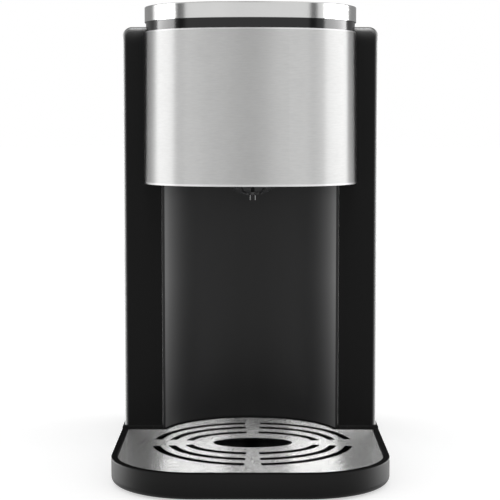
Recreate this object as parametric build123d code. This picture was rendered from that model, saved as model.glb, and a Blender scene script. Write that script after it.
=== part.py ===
# Instant hot water dispenser with a removable tank behind the body. Millimetres, +Z up.
# X runs left to right as seen from the front and Y runs backwards. The origin is on the table,
# under the middle of the whole outline. The front faces of the two wings lie in the plane y = 0.

import math
import os

from build123d import *

# General values
overrun = 6.0
contact_gap = 0.1
running_gap = 0.3
bearing_gap = 0.05
screw_radius = 1.5
screw_hole_radius = 1.55
screw_head_radius = 3.2
screw_head_height = 1.8

# Body: the matt housing whose front shows as two upright wings
body_width = 173.0
body_depth = 58.0
body_height = 272.2
body_corner_radius = 6.5
body_edge_radius = 3.0
body_wall = 2.4
body_window_margin = 7.5
cover_wall = 2.2
body_boss_radius = 4.0
body_boss_length = 22.0
body_boss_inset = 7.0
body_boss_low = 7.7
body_boss_drop = 11.5

# Niche: the half round place for the cup between the wings
niche_half_width = 58.6
niche_back_room = 16.8
niche_wall = 1.6
niche_foot = 5.3
niche_lip_radius = 0.7
dock_wall = 6.0

# Base: plinth under the body and the seat of the tank behind it
base_proud = 1.75
seat_depth = 75.0
base_corner_radius = 16.0
base_edge_radius = 1.5
base_wall = 2.4
foot_drop = 1.0
deck_height = 18.3
seat_height = 26.7
seat_front_gap = 1.0
pan_raise = 0.6
pan_thickness = 2.6
base_boss_radius = 4.0
base_boss_inset = 11.2
base_boss_front = 14.0
base_boss_rear = 12.0
base_screw_length = 12.0
foot_radius = 7.0
foot_recess = 1.0
foot_side_inset = 27.25
foot_front_inset = 43.5
foot_rear_inset = 22.0

# Drip tray and its grate
tray_ahead = 135.5
tray_corner_radius = 54.0
tray_height = 16.5
tray_skirt_wall = 3.0
tray_bottom_radius = 4.0
tray_top_radius = 0.8
tray_floor = 1.8
tray_rim = 3.7
tray_rear_rim = 0.8
tray_ledge = 2.5
tray_rib_radius = 1.0
tray_rib_length = 52.0
tray_rib_pitch = 22.0
tray_rib_count = 5
dock_gap = 0.4
tongue_gap = 0.8
pan_gap = 0.6
grate_drop = 1.0
grate_sheet = 1.0
grate_hem = 2.7
grate_edge_radius = 0.4
outlet_shift = 1.5
outlet_setback = 22.5
ring_half_widths = (66.0, 55.8, 45.0)
ring_half_depths = (66.0, 51.5, 35.3)
slot_width_side = 5.0
slot_width_depth = 6.4
hole_half_width = 26.0
hole_half_depth = 14.8
bridge_inner_half = 2.9
bridge_outer_half = 5.7
wedge_outer_half = 11.4

# Head: steel band, tub behind it, ring and glass on top
band_height = 100.6
band_drop = 4.4
band_wall = 0.8
band_lip = 3.0
band_lip_thickness = 0.8
head_half_width = 71.7
head_ahead = 66.0
head_front_radius = 140.0
head_corner_radius = 57.0
head_draft = 1.1
tub_wall = 2.0
tub_floor = 2.5
gap_inset = 0.8
frame_deck = 2.0
frame_wall = 2.0
frame_window_width = 60.0
frame_window_depth = 30.0
ring_height = 10.0
ring_wall = 1.6
ring_back_inset = 8.0
ring_rear_radius = 12.0
ring_edge_radius = 0.6
glass_thickness = 2.8
glass_drop = 0.5
board_thickness = 1.6
board_side_room = 19.7
board_depth = 56.0
board_post = 1.6
board_post_radius = 3.0
display_width = 40.0
display_depth = 16.0
display_height = 2.4

# Outlet: separator in the head, dome and spout under it
separator_radius = 15.0
separator_headroom = 26.6
separator_wall = 1.8
separator_lid = 3.0
separator_lid_lip = 1.2
dome_radius = 17.5
dome_drop = 7.3
dome_wall = 1.4
dome_slot_width = 2.2
dome_slot_count = 12
dome_ring_radius = 6.5
spout_radius = 2.3
spout_bore = 1.5
spout_drop = 3.0
spout_socket_radius = 4.0

# Heater
heater_x = -38.0
heater_setback = 41.0
heater_radius = 18.0
heater_wall = 1.5
heater_headroom = 19.4
cap_radius = 20.0
cap_height = 7.0
cradle_wall = 2.0
cradle_height = 8.0
heater_inlet_height = 14.2
heater_outlet_drop = 21.0
tab_width = 6.3
tab_thickness = 0.8
tab_height = 9.0
tab_spacing = 16.0
cutout_radius = 6.0
cutout_length = 7.0
cutout_place_shares = (0.45, 0.64)

# Hoses and nipples
nipple_radius = 3.2
nipple_bore = 2.0
nipple_length = 8.0
short_nipple = 4.0
hose_radius = 5.0
hose_bend = 14.0
hose_end_gap = 1.0
hose_column_inset = 17.0
hose_hole_radius = 7.0
clamp_width = 3.0
clamp_thickness = 0.8

# Pump, in line with the valve
pump_height = 24.5
pump_radius = 17.0
pump_head_length = 16.0
pump_front_wall = 5.0
pump_cavity_radius = 13.0
pump_side_gap = 6.5
pump_outlet_setback = 9.0
motor_radius = 14.0
motor_length = 31.0
motor_rear_radius = 5.0
motor_rear_length = 1.6
rotor_radius = 12.0
rotor_disc = 2.0
rotor_gap = 0.6
blade_height = 7.0
blade_thickness = 1.6
blade_count = 6
rotor_hub_radius = 3.5
shaft_radius = 1.5
shaft_length = 6.5
shaft_bore_depth = 8.0
mount_width = 7.0
mount_depth = 26.0
mount_rise_share = 0.45
mount_place_shares = (0.2, 0.8)

# Flow meter
flow_radius = 12.0
flow_wall = 2.0
flow_height = 14.0
flow_pin_radius = 1.0
wheel_radius = 9.0
wheel_hub_radius = 2.5
wheel_gap = 0.4
paddle_thickness = 1.2
paddle_count = 6
flow_post_radius = 8.0

# Tank
tank_side_inset = 2.5
tank_front_gap = 1.2
tank_rear_inset = 2.2
tank_top_drop = 5.5
tank_rear_radius = 16.0
tank_front_radius = 5.0
tank_wall = 2.2
tank_floor = 2.5
tank_skirt = 3.2
tank_bottom_radius = 2.0
tank_rim = 1.0
tank_rim_height = 3.0
tank_grip_width = 70.0
tank_grip_height = 14.0
tank_grip_depth = 6.0
tank_grip_drop = 42.0
lid_wall = 2.0
lid_plate = 2.2
lid_skirt = 3.3
lid_skirt_gap = 0.5
lid_skirt_back = 9.0
lid_scoop_radius = 16.0
lid_scoop_depth = 1.1
hinge_inset = 6.5
hinge_rise = 2.0
hinge_radius = 3.5
hinge_half_length = 20.0
hinge_side_gap = 0.4
hinge_lid_overhang = 0.5
ear_width = 3.0
ear_drop = 8.0
ear_notch = 0.7
pin_radius = 1.5
pin_head_length = 1.0

# Tank valve and the coupling under it
valve_side_inset = 40.1
valve_forward = 0.5
valve_barrel_radius = 9.8
valve_hole_gap = 0.2
valve_drop = 12.0
valve_flange_radius = 14.0
valve_flange = 2.0
valve_bore = 4.0
seal_radius = 8.0
seal_bore = 5.0
seal_thickness = 1.0
stem_radius = 2.5
stem_rise = 1.0
plunger_radius = 8.0
plunger_thickness = 2.0
cage_radius = 12.0
cage_wall = 1.5
cage_height = 20.0
cage_slot_width = 3.0
cage_slot_count = 8
spring_radius = 5.5
spring_wire_radius = 0.45
spring_turns = 5
coupling_radius = 13.0
coupling_flange_radius = 18.0
coupling_flange = 2.0
coupling_neck_radius = 15.0
coupling_neck_gap = 0.2
coupling_foot_drop = 6.0
socket_gap = 1.0
socket_floor_gap = 2.0
sump_radius = 5.0
lift_pin_radius = 1.2
lift_pin_gap = 0.5
socket_seal_gap = 0.4

# Power board in the right column
power_board_front = 8.0
power_board_rear_gap = 8.0
power_board_height = 134.0
power_board_raise = 16.0
power_post = 3.5
power_post_radius = 3.0
power_post_inset = 6.0
relay_size = (11.0, 16.0, 20.0)
block_size = (9.0, 30.0, 14.0)
coil_size = (12.0, 24.0, 26.0)
capacitor_radius = 5.0
capacitor_length = 12.0
relay_place_shares = (0.3, 0.72)
capacitor_place_shares = (0.75, 0.72)
coil_place_shares = (0.5, 0.42)
block_place_shares = (0.5, 0.1)

# Cord gland in the rear wall
gland_side_inset = 28.25
gland_rise = 9.6
gland_neck_half = 5.6
gland_bore = 3.5
gland_flange_radius = 7.2
gland_flange = 1.5
gland_depth = 6.0

# Levels worked out from the values above
skirt_z = foot_drop
pan_z = skirt_z + pan_raise
pan_top_z = pan_z + pan_thickness
deck_z = skirt_z + deck_height
seat_z = deck_z + seat_height
body_top_z = deck_z + body_height
band_top_z = body_top_z - band_drop
head_z = band_top_z - band_height
tub_z = head_z + band_lip_thickness
tub_floor_z = tub_z + tub_floor
gap_top_z = body_top_z + frame_deck
ring_top_z = gap_top_z + ring_height
rim_z = skirt_z + tray_height
tray_floor_z = pan_top_z + pan_gap
plate_z = rim_z - grate_drop
ledge_z = plate_z - grate_hem - running_gap
pump_z = skirt_z + pump_height
tank_z = seat_z + running_gap
tank_floor_z = tank_z + tank_skirt
tank_inside_z = tank_floor_z + tank_floor
tank_top_z = body_top_z - tank_top_drop

# Places worked out from the values above
base_width = body_width + 2 * base_proud
niche_depth = body_depth - niche_back_room
niche_radius = (niche_half_width**2 + niche_depth**2) / (2 * niche_depth)
niche_ahead = niche_radius - niche_depth
seat_front = body_depth + seat_front_gap
base_rear = seat_front + seat_depth
inner_half_width = base_width / 2 - base_proud - base_wall
ring_back = body_depth - ring_back_inset
outlet_ahead = head_ahead - outlet_setback
heater_height = band_height - heater_headroom
heater_outlet_height = heater_height - heater_outlet_drop
separator_height = band_height - separator_headroom
heater_point = Vector(heater_x, heater_setback - head_ahead)
outlet_point = Vector(outlet_shift, -outlet_ahead)
board_width = 2 * (head_half_width - board_side_room)
power_board_depth = body_depth - power_board_front - power_board_rear_gap
hose_column_y = body_depth - hose_column_inset
tank_width = body_width - 2 * tank_side_inset
tank_front = body_depth + tank_front_gap
tank_back = base_rear - tank_rear_inset
hinge_y = tank_back - hinge_inset
hinge_z = tank_top_z + hinge_rise
valve_z = tank_inside_z + valve_flange
valve_foot_z = tank_inside_z - valve_drop
valve_x = inner_half_width - valve_side_inset
valve_y = seat_front + seat_depth / 2 - valve_forward
motor_x = pump_side_gap + motor_rear_length + motor_length - inner_half_width
pump_face_x = motor_x + pump_head_length
pump_outlet_x = pump_face_x - pump_outlet_setback
flow_x = (pump_face_x + valve_x - coupling_radius) / 2
foot_side = base_width / 2 - foot_side_inset
gland_x = base_width / 2 - gland_side_inset
gland_z = skirt_z + gland_rise


def prism(outline, low, high):
    """An upright solid on a flat outline, from level low to level high."""
    return Pos(0, 0, low) * extrude(outline, amount=high - low)


def slab(outline, front, back):
    """A solid on an outline drawn in X and Z, from y = front to y = back."""
    return extrude(Plane.XZ.offset(-back) * outline, amount=back - front)


def rod(radius, start, end):
    """A round bar between two points."""
    along = Vector(*end) - Vector(*start)
    return extrude(Plane(origin=start, z_dir=along) * Circle(radius), amount=along.length)


def tube(radius, bore, start, end):
    """A round bar with a bore right through."""
    return rod(radius, start, end) - rod(bore, start, end)


def block(x_span, y_span, z_span):
    """A plain block between pairs of X, Y and Z values."""
    size = [abs(span[1] - span[0]) for span in (x_span, y_span, z_span)]
    middle = [(span[1] + span[0]) / 2 for span in (x_span, y_span, z_span)]
    return Pos(*middle) * Box(*size)


def behind_wings(solid):
    """The part of a solid that lies behind the plane of the wings."""
    reach = base_width + tray_ahead
    return solid - block((-reach, reach), (-reach, 0), (-reach, ring_top_z + reach))


def ahead_of_wings(solid):
    """The part of a solid that lies ahead of the plane of the wings."""
    reach = base_width + tray_ahead
    return solid - block((-reach, reach), (0, reach), (-reach, ring_top_z + reach))


def niche_circle(offset):
    """The circle that the niche follows, made larger by an offset."""
    return Pos(0, -niche_ahead) * Circle(niche_radius + offset)


def rounded_plan(width, front, back, front_radius, rear_radius):
    """A rectangle in plan with its own radius at the front and rear corners."""
    plan = Pos(0, (front + back) / 2) * Rectangle(width, back - front)
    if front_radius > 0:
        plan = fillet(plan.vertices().group_by(Axis.Y)[0], front_radius)
    return fillet(plan.vertices().group_by(Axis.Y)[-1], rear_radius)


def body_face(inset):
    """Front outline of the housing: a tall rectangle with rounded top corners."""
    top = body_top_z - inset
    face = Pos(0, (deck_z + top) / 2) * Rectangle(body_width - 2 * inset, top - deck_z)
    return fillet(face.vertices().group_by(Axis.Y)[-1], body_corner_radius - inset)


def head_outline(inset, back, rear_radius=0):
    """Plan of the head: a broad front arc, two tangent corner arcs and straight sides."""
    half = head_half_width - inset
    corner_x = head_half_width - head_corner_radius
    reach = head_front_radius - head_corner_radius
    front_y = head_front_radius - head_ahead
    corner_y = front_y - math.sqrt(reach**2 - corner_x**2)
    turn = math.degrees(math.acos(corner_x / reach))
    corner = head_corner_radius - inset
    sides = Polyline((half, corner_y), (half, back), (-half, back), (-half, corner_y))
    left = CenterArc((-corner_x, corner_y), corner, 180, turn)
    front = CenterArc((0, front_y), head_front_radius - inset, 180 + turn, 180 - 2 * turn)
    right = CenterArc((corner_x, corner_y), corner, -turn, turn)
    face = make_face(Curve() + [sides, left, front, right])
    if rear_radius > 0:
        face = fillet(face.vertices().group_by(Axis.Y)[-1], rear_radius)
    return face


def tray_outline(inset, rear_inset):
    """Plan of the tray: round front corners and a lobe that docks into the niche."""
    plan = Pos(0, (inset - tray_ahead - dock_gap - rear_inset) / 2) * Rectangle(
        base_width - 2 * inset, tray_ahead - inset - dock_gap - rear_inset
    )
    plan = fillet(plan.vertices().group_by(Axis.Y)[0], tray_corner_radius - inset)
    return plan + niche_circle(-dock_gap - rear_inset)


def mirrored(places):
    """The same places on the left and on the right."""
    return [(side * x, y) for side in (-1, 1) for x, y in places]


base_boss_x = base_width / 2 - base_boss_inset
base_boss_places = mirrored(
    [(base_boss_x, base_boss_front), (base_boss_x, base_rear - base_boss_rear)]
)
foot_places = mirrored(
    [(foot_side, foot_front_inset - tray_ahead), (foot_side, base_rear - foot_rear_inset)]
)
body_boss_places = mirrored(
    [
        (body_width / 2 - body_boss_inset, deck_z + body_boss_low),
        (body_width / 2 - body_boss_inset, body_top_z - body_boss_drop),
    ]
)


def make_base_pan():
    """Bottom plate of the base. Its front tongue carries the drip tray."""
    fit = base_wall + contact_gap
    rear = rounded_plan(base_width - 2 * fit, 0, base_rear - fit, 0, base_corner_radius - fit)
    tongue = tray_outline(tray_skirt_wall + tongue_gap, -2 * dock_gap)
    pan = prism(rear + tongue, pan_z, pan_top_z)
    for x, y in foot_places:
        pan -= Pos(x, y) * prism(Circle(foot_radius + contact_gap), pan_z, pan_z + foot_recess)
    for x, y in base_boss_places:
        pan -= Pos(x, y) * prism(Circle(screw_radius + running_gap), pan_z, pan_top_z)
        pan -= Pos(x, y) * prism(
            Circle(screw_head_radius + running_gap), pan_z, pan_z + screw_head_height
        )
    pan += Pos(flow_x, valve_y) * prism(
        Circle(flow_post_radius), pan_top_z, pump_z - flow_height / 2
    )
    return pan


def make_base_housing():
    """Plinth with an opening for the dock, a raised seat for the tank and a cord notch."""
    plinth = rounded_plan(base_width, 0, base_rear, 0, base_corner_radius)
    housing = prism(plinth, skirt_z, deck_z)
    top_edges = housing.faces().sort_by(Axis.Z)[-1].edges().sort_by(Axis.Y)[1:]
    housing = fillet(top_edges, base_edge_radius)
    seat = rounded_plan(
        base_width - 2 * base_proud, seat_front, base_rear - base_proud,
        base_edge_radius, base_corner_radius - base_proud,
    )
    seat_solid = prism(seat, deck_z - base_edge_radius, seat_z)
    seat_solid = fillet(seat_solid.faces().sort_by(Axis.Z)[-1].edges(), base_edge_radius)
    housing += seat_solid
    inner = rounded_plan(
        base_width - 2 * base_wall, base_wall, base_rear - base_wall,
        0, base_corner_radius - base_wall,
    )
    housing -= prism(inner, skirt_z, deck_z - base_wall)
    seat_inner = rounded_plan(
        2 * inner_half_width, seat_front + base_wall,
        base_rear - base_proud - base_wall, base_edge_radius,
        base_corner_radius - base_proud - base_wall,
    )
    housing -= prism(seat_inner, skirt_z, seat_z - base_wall)
    opening = niche_circle(niche_wall + dock_wall + 2 * contact_gap)
    housing -= prism(opening, skirt_z - overrun, deck_z + overrun)
    passage = base_width / 2 - base_wall
    housing -= block((-passage, passage), (-overrun, base_wall + overrun), (0, pan_top_z))
    for x, y in base_boss_places:
        top = deck_z - base_wall if y < seat_front else seat_z - base_wall
        housing += Pos(x, y) * prism(Circle(base_boss_radius), pan_top_z, top)
        housing -= Pos(x, y) * prism(
            Circle(screw_hole_radius), pan_top_z, pan_top_z + base_screw_length
        )
    housing -= Pos(valve_x, valve_y) * prism(
        Circle(coupling_neck_radius + coupling_neck_gap), seat_z - base_wall, seat_z
    )
    housing -= rod(
        hose_hole_radius,
        (pump_outlet_x, seat_front - contact_gap, pump_z),
        (pump_outlet_x, seat_front + base_wall + contact_gap, pump_z),
    )
    notch_half = gland_neck_half + contact_gap
    return housing - block(
        (gland_x - notch_half, gland_x + notch_half),
        (base_rear - gland_depth, base_rear + overrun),
        (skirt_z - overrun, gland_z + notch_half),
    )


def make_tray_dock():
    """Half ring round the tray's lobe. A step in it carries the foot of the niche panel."""
    bore = niche_wall + contact_gap
    dock = behind_wings(prism(niche_circle(bore + dock_wall), pan_top_z, deck_z))
    dock -= prism(niche_circle(contact_gap), pan_top_z - overrun, deck_z + overrun)
    return dock - prism(niche_circle(bore), deck_z - niche_foot, deck_z + overrun)


def make_rubber_feet():
    """Four round feet, each held in a shallow recess."""
    feet = Part()
    for x, y in foot_places:
        feet += Pos(x, y) * prism(Circle(foot_radius), 0, pan_z + foot_recess)
    return feet


def make_base_screws():
    """Screws that hold the pan to the bosses of the housing."""
    screws = Part()
    for x, y in base_boss_places:
        head_z = pan_z + screw_head_height
        screws += Pos(x, y) * prism(Circle(screw_head_radius), pan_z, head_z)
        screws += Pos(x, y) * prism(
            Circle(screw_radius), head_z, pan_top_z + base_screw_length - running_gap
        )
    return screws


def make_drip_tray():
    """Tray with a rounded lower edge, a rim, a ledge for the grate and ribs on its floor."""
    tray = prism(tray_outline(0, 0), skirt_z, rim_z)
    for place, radius in ((0, tray_bottom_radius), (-1, tray_top_radius)):
        outer = tray.faces().sort_by(Axis.Z)[place].edges().filter_by(
            lambda edge: edge.center().Y < -2 * dock_gap
        )
        tray = fillet(outer, radius)
    tray -= prism(tray_outline(tray_skirt_wall, -overrun), skirt_z - overrun, tray_floor_z)
    tray -= prism(tray_outline(tray_rim, tray_rear_rim), ledge_z, rim_z + overrun)
    basin = tray_outline(tray_rim + tray_ledge, tray_rear_rim + tray_ledge)
    basin_z = tray_floor_z + tray_floor
    tray -= prism(basin, basin_z, ledge_z)
    for index in range(tray_rib_count):
        x = (index - (tray_rib_count - 1) / 2) * tray_rib_pitch
        half = tray_rib_length / 2
        tray += rod(
            tray_rib_radius, (x, -outlet_ahead - half, basin_z), (x, -outlet_ahead + half, basin_z)
        )
    return tray


def slot_rings():
    """Outline of all slots: three oval rings cut by two bridges, and the oval hole."""
    slots = Sketch()
    for half_width, half_depth in zip(ring_half_widths, ring_half_depths):
        slots += Ellipse(half_width, half_depth)
        slots -= Ellipse(half_width - slot_width_side, half_depth - slot_width_depth)
    reach = ring_half_widths[0] + overrun
    for side in (-1, 1):
        slots -= make_face(
            Polyline(
                (-bridge_inner_half, 0), (bridge_inner_half, 0),
                (bridge_outer_half, side * reach), (-bridge_outer_half, side * reach),
                close=True,
            )
        )
        slots -= make_face(
            Polyline(
                (0, 0), (side * reach, -wedge_outer_half), (side * reach, wedge_outer_half),
                close=True,
            )
        )
    slots += Ellipse(hole_half_width, hole_half_depth)
    return Pos(outlet_shift, -outlet_ahead) * slots


def make_drip_grate():
    """Pressed steel plate with a turned down hem and the slots."""
    rim = tray_rim + running_gap
    rear_rim = tray_rear_rim + running_gap
    outline = tray_outline(rim, rear_rim)
    grate = prism(outline, plate_z - grate_hem, plate_z)
    grate = fillet(grate.faces().sort_by(Axis.Z)[-1].edges(), grate_edge_radius)
    inside = tray_outline(rim + grate_sheet, rear_rim + grate_sheet)
    grate -= prism(inside, plate_z - grate_hem, plate_z - grate_sheet)
    return grate - prism(slot_rings(), plate_z - overrun, plate_z + overrun)


def make_body_shell():
    """Housing with two wings, open behind and below, with bosses for the rear cover."""
    shell = slab(body_face(0), 0, body_depth)
    front_edges = shell.faces().sort_by(Axis.Y)[0].edges().sort_by(Axis.Z)[1:]
    shell = fillet(front_edges, body_edge_radius)
    shell -= slab(body_face(body_wall), body_wall, body_depth)
    window_top = body_top_z - body_window_margin
    shell -= prism(niche_circle(niche_wall + contact_gap), deck_z, window_top)
    cover_y = body_depth - cover_wall
    for x, z in body_boss_places:
        start = (x, cover_y - body_boss_length, z)
        shell += rod(body_boss_radius, start, (x, cover_y, z))
        shell -= rod(screw_hole_radius, start, (x, cover_y, z))
        rib_x = math.copysign(body_width / 2 - body_wall / 2, x)
        rib = (z - screw_radius, z + screw_radius)
        shell += block(
            (x + math.copysign(body_boss_radius - contact_gap, x), rib_x),
            (cover_y - body_boss_length, cover_y), rib,
        )
    board_x = body_width / 2 - body_wall
    for y, z in power_post_places():
        shell += rod(power_post_radius, (board_x - power_post, y, z), (board_x, y, z))
    return shell


def make_rear_cover():
    """Plate that closes the back of the body, with its hose hole and screw seats."""
    cover_y = body_depth - cover_wall
    cover = slab(body_face(body_wall + contact_gap), cover_y, body_depth)
    for x, z in body_boss_places:
        cover -= rod(screw_radius + running_gap, (x, cover_y, z), (x, body_depth, z))
        cover -= rod(
            screw_head_radius + running_gap,
            (x, body_depth - screw_head_height, z), (x, body_depth, z),
        )
    return cover - rod(
        hose_hole_radius,
        (pump_outlet_x, cover_y - contact_gap, pump_z),
        (pump_outlet_x, body_depth + contact_gap, pump_z),
    )


def make_body_screws():
    """Screws that hold the rear cover to the body."""
    screws = Part()
    for x, z in body_boss_places:
        head_y = body_depth - screw_head_height
        screws += rod(screw_head_radius, (x, head_y, z), (x, body_depth, z))
        screws += rod(screw_radius, (x, head_y - base_screw_length, z), (x, head_y, z))
    return screws


def make_niche_panel():
    """Half round panel with rounded front lips. It stands in the dock of the base."""
    ring = niche_circle(niche_wall) - niche_circle(0)
    panel = behind_wings(prism(ring, deck_z - niche_foot, tub_z))
    lips = panel.edges().filter_by(Axis.Z).filter_by(
        lambda edge: edge.center().Y < niche_lip_radius
    )
    return fillet(lips, niche_lip_radius)


def make_head_band():
    """Thin steel band with a slight draft and a lip turned in at its lower edge."""
    lean = math.degrees(math.atan(head_draft / band_height))
    outer = Pos(0, 0, head_z) * extrude(
        head_outline(0, overrun), amount=band_height, taper=lean
    )
    inner = Pos(0, 0, head_z) * extrude(
        head_outline(band_wall, overrun + band_wall), amount=band_height, taper=lean
    )
    lip = head_outline(band_wall / 2, 0) - head_outline(band_lip, 0)
    band = outer - inner + prism(lip, head_z, head_z + band_lip_thickness)
    return ahead_of_wings(band)


def make_head_tub():
    """Carrier inside the steel band: floor with the ceiling of the niche, and upright wall."""
    floor = head_outline(band_wall + contact_gap + band_lip_thickness / 2, 0)
    tub = ahead_of_wings(prism(floor, tub_z, tub_floor_z))
    tub += behind_wings(prism(niche_circle(niche_wall), tub_z, tub_floor_z))
    wall_inset = head_draft + band_wall + contact_gap
    wall = head_outline(wall_inset, 0) - head_outline(wall_inset + tub_wall, overrun)
    tub += prism(wall, tub_z, band_top_z)
    cradle = Circle(cap_radius + contact_gap + cradle_wall) - Circle(cap_radius + contact_gap)
    tub += Pos(heater_point.X, heater_point.Y) * prism(
        cradle, tub_floor_z, tub_floor_z + cradle_height
    )
    return tub - Pos(outlet_point.X, outlet_point.Y) * prism(
        Circle(spout_socket_radius + contact_gap), tub_z, tub_floor_z
    )


def make_top_frame():
    """Black frame between head and ring. Its front wall is the dark line below the ring."""
    inset = head_draft + gap_inset
    deck = head_outline(inset, ring_back - gap_inset, ring_rear_radius - gap_inset)
    frame = prism(deck, body_top_z, gap_top_z)
    lip = head_outline(inset, 0) - head_outline(inset + frame_wall, overrun)
    frame += prism(lip, band_top_z, body_top_z)
    glass_z = ring_top_z - glass_drop - glass_thickness
    carrier = head_draft + ring_wall + contact_gap
    wall = head_outline(carrier, ring_back - ring_wall - contact_gap, ring_rear_radius - ring_wall)
    wall -= head_outline(
        carrier + frame_wall, ring_back - ring_wall - frame_wall,
        ring_rear_radius - ring_wall - frame_wall,
    )
    frame += prism(wall, gap_top_z, glass_z)
    for x, y in board_post_places():
        frame += Pos(x, y) * prism(Circle(board_post_radius), gap_top_z, gap_top_z + board_post)
    window = Rectangle(frame_window_width, frame_window_depth)
    return frame - Pos(0, -head_ahead / 2) * prism(window, body_top_z - overrun, gap_top_z)


def make_top_ring():
    """Bright steel ring round the top of the head."""
    outer = head_outline(head_draft, ring_back, ring_rear_radius)
    ring = prism(outer, gap_top_z, ring_top_z)
    ring = fillet(ring.faces().sort_by(Axis.Z)[-1].edges(), ring_edge_radius)
    inner = head_outline(
        head_draft + ring_wall, ring_back - ring_wall, ring_rear_radius - ring_wall
    )
    return ring - prism(inner, gap_top_z - overrun, ring_top_z + overrun)


def make_control_panel():
    """Dark glass with the touch fields, set a little below the ring."""
    inset = ring_wall + contact_gap
    plan = head_outline(head_draft + inset, ring_back - inset, ring_rear_radius - inset)
    top = ring_top_z - glass_drop
    glass = prism(plan, top - glass_thickness, top)
    return fillet(glass.faces().sort_by(Axis.Z)[-1].edges(), ring_edge_radius)


def board_post_places():
    """Four places for the posts under the display board."""
    half_x = board_width / 2 - board_post_radius
    half_y = board_depth / 2 - board_post_radius
    return mirrored([(half_x, -half_y), (half_x, half_y)])


def make_display_board():
    """Circuit board under the glass with its display."""
    low = gap_top_z + board_post
    board = prism(Rectangle(board_width, board_depth), low, low + board_thickness)
    display = Rectangle(display_width, display_depth)
    return board + prism(
        display, low + board_thickness, low + board_thickness + display_height
    )


def make_steam_separator():
    """Cup over the spout in which steam leaves the water."""
    cup = prism(Circle(separator_radius), tub_floor_z, tub_floor_z + separator_height)
    cup -= prism(
        Circle(separator_radius - separator_wall),
        tub_floor_z + separator_wall, tub_floor_z + separator_height,
    )
    cup += prism(Circle(spout_socket_radius), tub_z, tub_floor_z + separator_wall)
    cup -= prism(Circle(spout_radius), tub_z - overrun, tub_floor_z + separator_wall + overrun)
    cup = Pos(outlet_point.X, outlet_point.Y) * cup
    nipple_end = pipe_point(separator_radius + short_nipple, True)
    inner_start = pipe_point(separator_radius - separator_wall / 2, True)
    cup += rod(nipple_radius, inner_start, nipple_end)
    return cup - rod(nipple_bore, pipe_point(separator_radius / 2, True), nipple_end)


def make_separator_lid():
    """Cap on the separator with a small vent."""
    low = tub_floor_z + separator_height
    lid = prism(Circle(separator_radius), low, low + separator_lid)
    inner = separator_radius - separator_wall - contact_gap
    lid += prism(Circle(inner) - Circle(inner - separator_lid_lip), low - separator_lid, low)
    lid -= prism(Circle(spout_bore), low, low + separator_lid)
    return Pos(outlet_point.X, outlet_point.Y) * lid


def make_nozzle_dome():
    """Dark dome under the head with a ring of radial slots."""
    sphere_radius = (dome_radius**2 + dome_drop**2) / (2 * dome_drop)
    centre_z = tub_z - dome_drop + sphere_radius
    cup = Pos(0, 0, centre_z) * (Sphere(sphere_radius) - Sphere(sphere_radius - dome_wall))
    cap = cup & Pos(0, 0, tub_z - sphere_radius) * Cylinder(
        dome_radius + overrun, 2 * sphere_radius
    )
    slot = block(
        (dome_ring_radius, dome_radius - dome_wall),
        (-dome_slot_width / 2, dome_slot_width / 2),
        (tub_z - dome_drop - overrun, tub_z),
    )
    for index in range(dome_slot_count):
        cap -= Rot(0, 0, index * 360 / dome_slot_count) * slot
    cap -= Pos(0, 0, tub_z - dome_drop) * Cylinder(spout_radius + contact_gap, 2 * overrun)
    return Pos(outlet_point.X, outlet_point.Y) * cap


def make_spout_tip():
    """Small steel pipe that the water runs out of."""
    tip = Circle(spout_radius - contact_gap) - Circle(spout_bore)
    tip_z = tub_z - dome_drop - spout_drop
    return Pos(outlet_point.X, outlet_point.Y) * prism(tip, tip_z, tub_floor_z + separator_wall)


def pipe_point(distance, from_outlet=False):
    """A point on the level line between heater and separator, measured from either end."""
    line = outlet_point - heater_point
    step = line.normalized() * distance
    place = outlet_point - step if from_outlet else heater_point + step
    return (place.X, place.Y, tub_floor_z + heater_outlet_height)


def make_heater_body():
    """Steel tube of the flow heater with an inlet low at the back and an outlet high up."""
    low = tub_floor_z + heater_wall
    high = tub_floor_z + heater_height
    bore_radius = heater_radius - heater_wall
    at_heater = Pos(heater_point.X, heater_point.Y)
    body = at_heater * prism(Circle(heater_radius), low, high - heater_wall)
    inlet_z = tub_floor_z + heater_inlet_height
    wall_y = heater_point.Y + heater_radius
    inlet_end = (heater_x, wall_y + nipple_length, inlet_z)
    body += rod(nipple_radius, (heater_x, wall_y - heater_wall, inlet_z), inlet_end)
    body += rod(
        nipple_radius,
        pipe_point(heater_radius - heater_wall), pipe_point(heater_radius + short_nipple),
    )
    body -= at_heater * prism(Circle(bore_radius), low, high - heater_wall)
    body -= rod(nipple_bore, (heater_x, wall_y - heater_radius / 2, inlet_z), inlet_end)
    return body - rod(
        nipple_bore, pipe_point(heater_radius / 2), pipe_point(heater_radius + short_nipple)
    )


def make_heater_caps():
    """Two caps that close the heater tube."""
    caps = Part()
    recess = Circle(heater_radius + contact_gap)
    low = tub_floor_z
    high = tub_floor_z + heater_height
    lower = prism(Circle(cap_radius), low, low + cap_height)
    caps += lower - prism(recess, low + heater_wall, low + cap_height)
    upper = prism(Circle(cap_radius), high - cap_height, high)
    caps += upper - prism(recess, high - cap_height, high - heater_wall)
    return Pos(heater_point.X, heater_point.Y) * caps


def make_heater_terminals():
    """Flat tabs on the upper cap."""
    tabs = Part()
    low = tub_floor_z + heater_height
    for side in (-1, 1):
        x = heater_point.X + side * tab_spacing / 2
        tabs += block(
            (x - tab_thickness / 2, x + tab_thickness / 2),
            (heater_point.Y - tab_width / 2, heater_point.Y + tab_width / 2),
            (low, low + tab_height),
        )
    return tabs


def make_thermal_cutouts():
    """Two round switches that rest against the heater."""
    switches = Part()
    wall_y = heater_point.Y + heater_radius + contact_gap
    for share in cutout_place_shares:
        z = tub_floor_z + heater_height * share
        switches += rod(
            cutout_radius, (heater_x, wall_y, z), (heater_x, wall_y + cutout_length, z)
        )
    return switches


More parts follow.
